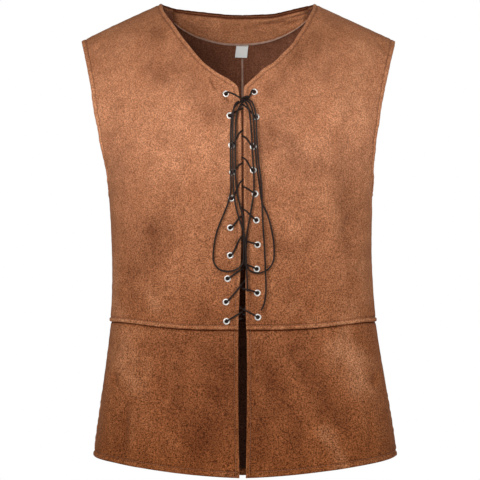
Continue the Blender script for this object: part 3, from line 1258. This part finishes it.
# %% [markdown]
# ## Eyelets
# An eyelet is a short metal tube. Its front end is rolled over into a round rim, and the
# setting tool flares its back end against the cloth. Turning one outline round an axis gives
# exactly that. All twenty are the same outline, each set square to the cloth at its own place.

# %% Set the eyelets
RIM = [  # radius, height over the cloth
    (5.0, 0.02), (4.96, 0.3), (4.72, 0.6), (4.3, 0.85), (3.8, 0.96), (3.3, 0.88), (2.96, 0.62),
    (2.8, 0.2), (2.78, -0.8), (2.8, -1.8), (2.88, -2.2), (3.1, -2.42), (3.7, -2.34), (4.3, -2.08),
    (4.36, -1.8), (3.2, -1.72), (3.0, -1.5), (3.0, -0.1),
]
ROUND = 40  # how many points make each circle


def eyelet(name, point, out):
    """One outline turned round the direction straight out of the cloth."""
    side = np.cross(out, (0, 0, 1))
    side /= np.linalg.norm(side)
    up = np.cross(side, out)
    angle = np.arange(ROUND) / ROUND * 2 * math.pi
    ring = np.cos(angle)[:, None] * side + np.sin(angle)[:, None] * up
    vertices = np.concatenate([point + ring * radius + out * height for radius, height in RIM])
    return add_object(name, smooth_mesh(name, vertices, ring_faces(len(RIM), ROUND, closed=True)))


def ring_faces(rings, around, closed=False):
    """Faces between neighbouring rings of points, and from the last ring to the first."""
    faces = []
    for j in range(rings if closed else rings - 1):
        for k in range(around):
            low, high, after = j * around, (j + 1) % rings * around, (k + 1) % around
            faces.append((low + k, low + after, high + after, high + k))
    return faces


metal_pieces = []
for _, word in SIDES:
    for k, (point, out) in enumerate(zip(*holes_of[word]), start=1):
        rim = eyelet(f"rim_{word}_{k:02d}", point, out)
        metal_pieces.append(place_piece(rim, "eyelet_metal", f"eyelet_{word}_{k:02d}"))
print("eyelets set:", len(metal_pieces))

# %% [markdown]
# ## Stitches
# The suede is sewn with one brown thread, and the tape and the label with a beige one, in
# stitches about 3 mm long. Each stitch is a small grain of thread whose two ends dip into the
# cloth. A curve for each would be slow, so one grain is made once as an array of points, and
# copied along every row into one mesh for each thread.

# %% One grain of thread
STITCH_PITCH, STITCH_LONG, THREAD = 3.3, 2.7, 0.62
GRAIN_ROUND = 6  # how many points make each ring of a grain
RINGS = [  # place along the stitch, thickness, height
    (-1.0, 0.35, -0.55), (-0.62, 0.9, 0.0), (0.0, 1.0, 0.16), (0.62, 0.9, 0.0), (1.0, 0.35, -0.55),
]
grain = []
for reach, thickness, height in RINGS:
    for k in range(GRAIN_ROUND):
        angle = k / GRAIN_ROUND * 2 * math.pi
        r = THREAD / 2 * thickness
        high = r * math.sin(angle) + height * THREAD / 2
        grain.append((reach * STITCH_LONG / 2, r * math.cos(angle), high))
grain = np.array(grain)
grain_faces = np.array(ring_faces(len(RINGS), GRAIN_ROUND))
print("points in a grain of thread:", len(grain))

# %% Copy the grain along the rows
def read_off(at, run, values):
    """Points or directions at places along a line, from those at the places in run."""
    return np.stack([np.interp(at, run, values[:, k]) for k in range(3)], axis=-1)


def unit(vectors):
    """The same directions, all one long."""
    return vectors / np.linalg.norm(vectors, axis=-1, keepdims=True)


NEARBY = 0.6  # a row's direction is read between points this far before and after a stitch


def sew(name, lines, lift=0.12, pitch=STITCH_PITCH):
    """One mesh of all the stitches along some rows of points with their outward directions."""
    vertices, faces, count = [], [], 0
    for line, out in lines:
        if len(line) < 3:
            continue
        run = run_along(line)
        at = np.arange(pitch / 2, run[-1] - pitch / 2, pitch)
        ahead = unit(read_off(at + NEARBY, run, line) - read_off(at - NEARBY, run, line))
        up = read_off(at, run, out)
        up = unit(up - ahead * (up * ahead).sum(-1, keepdims=True))
        points = (read_off(at, run, line) + up * lift)[:, None]
        for part, way in enumerate((ahead, np.cross(up, ahead), up)):
            points = points + grain[:, part, None] * way[:, None]
        first = count + np.arange(len(at)) * len(grain)
        vertices.append(points.reshape(-1, 3))
        faces.append((grain_faces[None] + first[:, None, None]).reshape(-1, 4))
        count += len(at) * len(grain)
    print(f"{name}: {count // len(grain)} stitches")
    return add_object(name, smooth_mesh(name, np.concatenate(vertices), np.concatenate(faces).tolist()))


thread_pieces = [place_piece(sew("thread_rows", stitch_lines), "suede")]
tape_row = (tape_inner[3], -facing_normal[0])
label_row = (label_outer[-3] - label_normal[-3] * (LABEL_THICK + 0.05), -label_normal[-3])
fine_rows = sew("thread_facing", [tape_row, label_row], lift=0.05, pitch=2.9)
thread_pieces.append(place_piece(fine_rows, "label_tape"))

# %% [markdown]
# ## Seams on the inside
# Inside, every plain seam shows its two raw edges, pressed apart and flat: down the middle of
# the back, down both sides and along both shoulders. They hide the thin slit between the
# panels. Below the label, a raw edge of the back's seam stands up as a pale line in the neck
# opening. Each is a narrow strip laid over the inner layers of two panels. A strip needs lines
# that start at the seam and run outwards on both sides, so at the sides and the shoulders the
# two panels' grids are first read at the same places along the seam.

# %% Seam allowances
STRIP = np.array([-1, -0.96, -0.85, -0.5, -0.12, 0, 0.12, 0.5, 0.85, 0.96, 1])
STRIP_THICK, STRIP_ROLL = 0.9, 0.45
STRIP_OVER, STRIP_UNDER = 0.05, 0.35  # how far a strip stands off the cloth, and reaches into it


def allowance(name, first, second, wide, thick=STRIP_THICK):
    """A strip over a seam, from the columns of two grids that run from the seam outwards."""
    (first_points, first_normal), (second_points, second_normal) = first, second
    points = np.concatenate([first_points[:, ::-1], second_points], axis=1)
    normal = np.concatenate([first_normal[:, ::-1], second_normal], axis=1)
    run = np.linalg.norm(np.diff(points, axis=1), axis=-1)
    run = np.concatenate([np.zeros((len(points), 1)), np.cumsum(run, axis=1)], axis=1)
    middle = run[:, first_points.shape[1] - 1 : first_points.shape[1] + 1].mean(axis=1)
    places = STRIP * wide
    rows = np.array([read_off(m + places, r, p) for m, r, p in zip(middle, run, points)])
    leans = unit(np.array([read_off(m + places, r, n) for m, r, n in zip(middle, run, normal)]))
    flat = np.minimum(wide - np.abs(places), np.abs(places) + 0.25)
    height = thick - rolled(flat, STRIP_ROLL)
    top = rows - leans * (CLOTH + STRIP_OVER + height)[None, :, None]
    under = rows - leans * (CLOTH - STRIP_UNDER)
    pressed = np.broadcast_to(np.abs(places) > wide * 0.8, rows.shape[:2]).astype(float)
    return wall_mesh(name, under, top, [pressed] * 2)


def beside_middle(rows, columns):
    """Columns of both backs from the middle seam outwards, as points and directions."""
    return [[grid[rows, 2:columns] for grid in panels[name]] for name in ("back_left", "back_right")]


MIDDLE_STRIP, EDGE_STRIP = 9, 1.5  # half the width of the pressed seam, and of the pale edge
EDGE_THICK = 2.4  # how far the pale edge stands up
EDGE_ENDS = 152  # how far down the pale edge runs
middle_seam = allowance("seam_middle_back", *beside_middle(slice(2, -2), 26), MIDDLE_STRIP)
seam_down = -panels["back_left"][0][:, 0, 2]
in_view = slice(int(np.sum(seam_down > EDGE_ENDS)), int(np.sum(seam_down > LABEL_BOTTOM + 1)))
pale_edge = allowance("seam_edge_back", *beside_middle(in_view, 12), EDGE_STRIP, EDGE_THICK)
seam_strips = [place_piece(middle_seam, "suede")]
place_piece(pale_edge, "suede")
print("seam down the middle of the back:", round(length_of(panels["back_left"][0][:, 0])), "mm")

# %% Strips at the sides and the shoulders
def matched(panel_name, places, rows, columns, axis):
    """Lines beside a panel's seam, from the seam outwards, all cut at the same places along it."""
    outer, normal = (grid[rows, columns] for grid in panels[panel_name])
    if axis == 0:
        outer, normal = outer.transpose(1, 0, 2), normal.transpose(1, 0, 2)
    key = outer[..., axis]
    if key[0, 0] > key[-1, 0]:
        outer, normal, key = outer[::-1], normal[::-1], key[::-1]
    return [np.stack([read_off(places, key[:, j], grid[:, j]) for j in range(key.shape[1])], axis=1)
            for grid in (outer, normal)]


SIDE_STRIP = 7
SIDE_COLUMNS, FIRST_COLUMNS = slice(-3, -14, -1), slice(2, 13)
ALL = slice(None)
upper = -np.linspace(WAIST_SIDE_DOWN - 3, UNDERARM_DOWN + 8, 90)
lower = -np.linspace(VENT_DOWN - 4, WAIST_SIDE_DOWN + 4, 50)
for side, word in SIDES:
    across = np.sort(side * np.linspace(NECK_HALF + 7, TIP_HALF - 9, 60)) + LEAN[0, 1]
    skirt_columns = SIDE_COLUMNS if side > 0 else FIRST_COLUMNS
    front, back, skirt = f"front_{word}", f"back_{word}", f"skirt_{word}"
    seams = {
        f"seam_side_{word}": [matched(name, upper, ALL, SIDE_COLUMNS, 2) for name in (front, back)],
        f"seam_skirt_{word}": [matched(skirt, lower, ALL, SIDE_COLUMNS, 2),
                               matched("skirt_back", lower, ALL, skirt_columns, 2)],
        f"seam_shoulder_{word}": [matched(name, across, SIDE_COLUMNS, ALL, 0) for name in (front, back)],
    }
    for name, grids in seams.items():
        seam_strips.append(place_piece(allowance(name, *grids, SIDE_STRIP), "suede"))
print("strips inside the seams:", len(seam_strips))

# %% [markdown]
# ## Finishes
# Suede is leather (here a woven copy of it) whose surface is raised into a short dense nap.
# The nap has no gloss. It lies in slightly different directions, so it looks mottled, it is
# speckled where single tufts catch the light, and it is rubbed lighter on the turned edges.
# The mottling, the speckle and the tufts are the same on the outside, on the darker wrong side
# and on the facing, so they are one node group, placed in each material and coloured there.

# %% Helpers for materials
def shader_of(name, **settings):
    """A material with its Principled shader, whose plain values are set on the shader itself."""
    material = bpy.data.materials.new(name)
    material.use_nodes = True
    shader = material.node_tree.nodes["Principled BSDF"]
    for socket, value in settings.items():
        shader.inputs[socket].default_value = value
    return material, material.node_tree, shader


def ramp(tree, source, stops):
    """Colours along a mask, as a Color Ramp node."""
    node = tree.nodes.new("ShaderNodeValToRGB")
    tree.links.new(source, node.inputs["Fac"])
    elements = node.color_ramp.elements
    while len(elements) < len(stops):
        elements.new(0.5)
    for element, (place, colour) in zip(elements, stops):
        element.position = place
        element.color = (*colour, 1)
    return node.outputs["Color"]


def blend_colours(tree, way, share, first, second):
    """Two colours mixed in a chosen way."""
    node = tree.nodes.new("ShaderNodeMix")
    node.data_type = "RGBA"
    node.blend_type = way
    for socket, value in zip((node.inputs[0], node.inputs[6], node.inputs[7]), (share, first, second)):
        if isinstance(value, bpy.types.NodeSocket):
            tree.links.new(value, socket)
        else:
            socket.default_value = value if isinstance(value, (int, float)) else (*value, 1)
    return node.outputs[2]

# %% Helpers for masks and bumps
def noise(tree, place, scale, detail=3.0, rough=0.55):
    """A noise mask. The scale is a number, or a socket of the node group."""
    node = tree.nodes.new("ShaderNodeTexNoise")
    tree.links.new(place, node.inputs["Vector"])
    if isinstance(scale, bpy.types.NodeSocket):
        tree.links.new(scale, node.inputs["Scale"])
    else:
        node.inputs["Scale"].default_value = scale
    node.inputs["Detail"].default_value = detail
    node.inputs["Roughness"].default_value = rough
    return node.outputs["Fac"]


def weighted(tree, first, second, share):
    """A value between two masks."""
    node = tree.nodes.new("ShaderNodeMix")
    node.inputs[0].default_value = share
    tree.links.new(first, node.inputs[2])
    tree.links.new(second, node.inputs[3])
    return node.outputs[0]


def bump_from(tree, shader, height, strength, distance):
    """Raises the surface of a shader by a height mask."""
    bump = tree.nodes.new("ShaderNodeBump")
    bump.inputs["Strength"].default_value = strength
    bump.inputs["Distance"].default_value = distance
    tree.links.new(height, bump.inputs["Height"])
    tree.links.new(bump.outputs["Normal"], shader.inputs["Normal"])

# %% The nap, as a node group
def nap_group():
    """Masks of napped cloth: patches, streaks down the nap, speckle, and the tufts' height."""
    group = bpy.data.node_groups.new("brushed nap", "ShaderNodeTree")
    for name in ("Patch Scale", "Speckle Scale"):
        group.interface.new_socket(name, in_out="INPUT", socket_type="NodeSocketFloat")
    for name in ("Patches", "Streaks", "Speckle", "Height"):
        group.interface.new_socket(name, in_out="OUTPUT", socket_type="NodeSocketFloat")
    given = group.nodes.new("NodeGroupInput")
    result = group.nodes.new("NodeGroupOutput")
    place = group.nodes.new("ShaderNodeTexCoord").outputs["Object"]
    hanging = group.nodes.new("ShaderNodeMapping")
    hanging.inputs["Scale"].default_value = (1, 1, 0.22)
    group.links.new(place, hanging.inputs["Vector"])
    broad = noise(group, place, given.outputs["Patch Scale"], 4, 0.6)
    small = noise(group, place, 60, 5, 0.68)
    streaks = noise(group, hanging.outputs["Vector"], 42, 5, 0.66)
    speckle = noise(group, place, given.outputs["Speckle Scale"], 1.5, 0.5)
    tufts = noise(group, place, 1300, 2, 0.6)
    group.links.new(weighted(group, broad, small, 0.58), result.inputs["Patches"])
    group.links.new(streaks, result.inputs["Streaks"])
    group.links.new(speckle, result.inputs["Speckle"])
    group.links.new(weighted(group, speckle, tufts, 0.5), result.inputs["Height"])
    return group


NAP = nap_group()
print("node group:", NAP.name, [socket.name for socket in NAP.interface.items_tree])

# %% What colours the suede
def part_of(tree, value, share):
    """A share of a value, kept between 0 and 1."""
    node = tree.nodes.new("ShaderNodeMath")
    node.operation = "MULTIPLY"
    node.use_clamp = True
    node.inputs[1].default_value = share
    tree.links.new(value, node.inputs[0])
    return node.outputs[0]


SUEDE_SHADER = {
    "Roughness": 0.92, "Specular IOR Level": 0.12, "Specular Tint": (1.0, 0.62, 0.4, 1),
    "Sheen Weight": 0.06, "Sheen Roughness": 0.45, "Sheen Tint": (1.0, 0.6, 0.38, 1),
}
PATCHES, SPECKLES = 13.0, 560.0  # how fine the mottling and the speckle are
NAP_STRENGTH, NAP_HEIGHT = 0.7, 0.00044
HEM_HEIGHT, SHOULDER_HEIGHT = -0.70, -0.02  # between these the colour changes with the height


def by_height(tree, top, low):
    """The suede's colour from the hem up to the shoulders, and how high each point is."""
    parts = tree.nodes.new("ShaderNodeSeparateXYZ")
    tree.links.new(tree.nodes.new("ShaderNodeTexCoord").outputs["Object"], parts.inputs[0])
    fall = tree.nodes.new("ShaderNodeMapRange")
    fall.inputs["From Min"].default_value = HEM_HEIGHT
    fall.inputs["From Max"].default_value = SHOULDER_HEIGHT
    tree.links.new(parts.outputs["Z"], fall.inputs["Value"])

    def between(share):
        return tuple(mix(np.array(low), np.array(top), share))

    colour = ramp(tree, fall.outputs[0], [
        (0, low), (0.36, between(0.26)), (0.6, between(0.62)), (0.72, top), (0.83, between(0.82)),
        (0.95, between(0.6))])
    return colour, fall.outputs[0]


def rubbed_and_shaded(tree, colour, top, low, rubbed, shaded):
    """Lighter where the nap is rubbed or stroked up, and darker where it is shaded."""
    tone = tree.nodes.new("ShaderNodeAttribute")
    tone.attribute_name = "nap_tone"
    light = tuple(min(1.0, c * 1.5 + 0.02) for c in top)
    shade = tuple(c * part for c, part in zip(low, (0.36, 0.26, 0.24)))
    colour = blend_colours(tree, "MIX", part_of(tree, tone.outputs["Fac"], rubbed), colour, light)
    return blend_colours(tree, "MIX", part_of(tree, tone.outputs["Fac"], -shaded), colour, shade)


def mottled(tree, nap, colour, contrast, high):
    """Patches, streaks and speckle over a colour. The speckle is weaker high on the vest."""
    dark = 1 - contrast
    patches = ramp(tree, nap.outputs["Patches"], [
        (0.36, (dark, dark * 0.93, dark * 0.88)), (0.5, (0.84, 0.81, 0.79)), (0.63, (1, 1, 1))])
    colour = blend_colours(tree, "MULTIPLY", 1.0, colour, patches)
    combed = ramp(tree, nap.outputs["Streaks"], [
        (0.36, (dark + 0.12, dark + 0.08, dark + 0.05)), (0.48, (0.92, 0.91, 0.9)), (0.6, (1, 1, 1))])
    colour = blend_colours(tree, "MULTIPLY", 0.8, colour, combed)
    speckled = ramp(tree, nap.outputs["Speckle"], [
        (0.34, (0.27, 0.23, 0.2)), (0.5, (0.83, 0.8, 0.78)), (0.66, (1.4, 1.37, 1.34))])
    weaker = tree.nodes.new("ShaderNodeMapRange")
    weaker.inputs["To Min"].default_value = 1.0
    weaker.inputs["To Max"].default_value = 0.5
    tree.links.new(high, weaker.inputs["Value"])
    return blend_colours(tree, "MULTIPLY", weaker.outputs[0], colour, speckled)

# %% Three kinds of suede
def suede_material(name, top, low, contrast=0.22, rubbed=0.42, shaded=0.75):
    """Napped suede: colours at the shoulders and at the hem, mottled, speckled and rubbed."""
    material, tree, shader = shader_of(name, **SUEDE_SHADER)
    nap = tree.nodes.new("ShaderNodeGroup")
    nap.node_tree = NAP
    nap.inputs["Patch Scale"].default_value = PATCHES
    nap.inputs["Speckle Scale"].default_value = SPECKLES
    colour, high = by_height(tree, top, low)
    colour = rubbed_and_shaded(tree, colour, top, low, rubbed, shaded)
    colour = mottled(tree, nap, colour, contrast, high)
    tree.links.new(colour, shader.inputs["Base Color"])
    bump_from(tree, shader, nap.outputs["Height"], NAP_STRENGTH, NAP_HEIGHT)
    return material


suede = suede_material("suede", (0.73, 0.332, 0.178), (0.325, 0.108, 0.036))
wrong_side = suede_material(
    "suede wrong side", (0.42, 0.168, 0.096), (0.06, 0.024, 0.017), 0.25, rubbed=0.1, shaded=0.3)
facing_suede = suede_material(
    "facing suede", (0.79, 0.345, 0.17), (0.46, 0.185, 0.09), rubbed=0.3)
print("suede:", [material.name for material in (suede, wrong_side, facing_suede)])

# %% Thread, tape, metal and lace
def plain_material(name, colour, spread, scale, bump_scale, bump_height, **settings):
    """A finish with a slight unevenness in its colour and its surface."""
    material, tree, shader = shader_of(name, **settings)
    place = tree.nodes.new("ShaderNodeTexCoord").outputs["Object"]
    darker = tuple(c * (1 - spread) for c in colour)
    tone = ramp(tree, noise(tree, place, scale), [(0.3, darker), (0.7, colour)])
    tree.links.new(tone, shader.inputs["Base Color"])
    bump_from(tree, shader, noise(tree, place, bump_scale, 3, 0.6), 0.6, bump_height)
    return material


thread = plain_material("brown thread", (0.40, 0.18, 0.09), 0.35, 300, 2600, 0.0001, Roughness=0.6)
tape_white = plain_material(
    "white tape", (0.97, 0.97, 0.95), 0.04, 90, 1700, 0.00015, Roughness=0.75)
tape_beige = plain_material(
    "beige tape", (0.50, 0.30, 0.22), 0.25, 120, 1700, 0.00015, Roughness=0.75)
rim_metal = plain_material(
    "eyelet metal", (0.86, 0.83, 0.79), 0.1, 260, 900, 0.00004, Roughness=0.4, Metallic=0.6)
lace_black = plain_material(
    "black lace", (0.022, 0.012, 0.009), 0.5, 240, 1500, 0.00018,
    **{"Roughness": 0.42, "Specular IOR Level": 0.2})
print("plain finishes:", [m.name for m in (thread, tape_white, tape_beige, rim_metal, lace_black)])

# %% Give each piece its finish
def finish_with(pieces, outside, inside=None):
    """Gives pieces their finish, and another one to the faces of their inner layer."""
    for piece in pieces:
        piece.data.materials.append(outside)
        piece.data.materials.append(inside or outside)


finish_with(cloth_pieces, suede, wrong_side)
finish_with([facing], facing_suede)
finish_with([tape], tape_beige)
finish_with([label], tape_white)
finish_with(thread_pieces[:1], thread)
finish_with(thread_pieces[1:], tape_beige)
finish_with(seam_strips, wrong_side)
finish_with([pale_edge], tape_beige)
finish_with(metal_pieces, rim_metal)
finish_with(laces, lace_black)
print("materials:", len(bpy.data.materials))

# %% [markdown]
# ## Floor and light
# The vest is lit as in a small studio: one soft round light close in front at the height of
# the shoulders, one on each side with more from the right, and one behind and above that lights
# the back. A round light gives soft shadows, and a weak white surrounding fills them. The camera
# sees that surrounding as plain white. The floor is a pale sheet well below the hem.

# %% Floor, lights and surroundings
FLOOR_HALF, FLOOR_HEIGHT = 3, -1.05
FILL_LIGHT, SEEN_WHITE = 0.16, 1.0  # the surrounding, as it lights the vest and as it is seen

floor_mesh = bpy.data.meshes.new("floor")
corners = [(x * FLOOR_HALF, y * FLOOR_HALF, FLOOR_HEIGHT) for x, y in ((-1, -1), (1, -1), (1, 1), (-1, 1))]
floor_mesh.from_pydata(corners, [], [(0, 1, 2, 3)])
floor = add_object("floor", floor_mesh)
floor_paint, _, _ = shader_of("pale floor", **{"Base Color": (0.82, 0.82, 0.81, 1), "Roughness": 0.9})
finish_with([floor], floor_paint)


def soft_light(name, place, target, size, power):
    """A round light that points at a target."""
    lamp = bpy.data.lights.new(name, "AREA")
    lamp.shape = "DISK"
    lamp.size = size
    lamp.energy = power
    light = add_object(name, lamp)
    aim = np.array(target, float) - np.array(place, float)
    light.location = place
    flat = math.hypot(aim[0], aim[1])
    light.rotation_euler = (math.atan2(flat, -aim[2]), 0, math.atan2(aim[1], aim[0]) - math.pi / 2)


MIDDLE = (0, 0, -0.35)
LIGHTS = [  # name, place, target, size in metres, power in watts
    ("front light", (-0.42, -1.42, 0.0), (-0.03, -0.1, -0.24), 0.7, 14),
    ("left light", (-2.3, -1.0, 0.5), MIDDLE, 0.8, 9),
    ("back light", (0.5, 2.7, 0.7), MIDDLE, 1.2, 22),
    ("right light", (2.3, -1.0, 0.3), MIDDLE, 0.8, 22),
]
for row in LIGHTS:
    soft_light(*row)

world = bpy.data.worlds.new("white studio")
world.use_nodes = True
bpy.context.scene.world = world
tree = world.node_tree
surround, seen = tree.nodes["Background"], tree.nodes.new("ShaderNodeBackground")
for node, strength in ((surround, FILL_LIGHT), (seen, SEEN_WHITE)):
    node.inputs["Color"].default_value = (1, 1, 1, 1)
    node.inputs["Strength"].default_value = strength
choice = tree.nodes.new("ShaderNodeMixShader")
tree.links.new(tree.nodes.new("ShaderNodeLightPath").outputs["Is Camera Ray"], choice.inputs[0])
tree.links.new(surround.outputs[0], choice.inputs[1])
tree.links.new(seen.outputs[0], choice.inputs[2])
tree.links.new(choice.outputs[0], tree.nodes["World Output"].inputs["Surface"])
bpy.context.scene.view_settings.view_transform = "Standard"
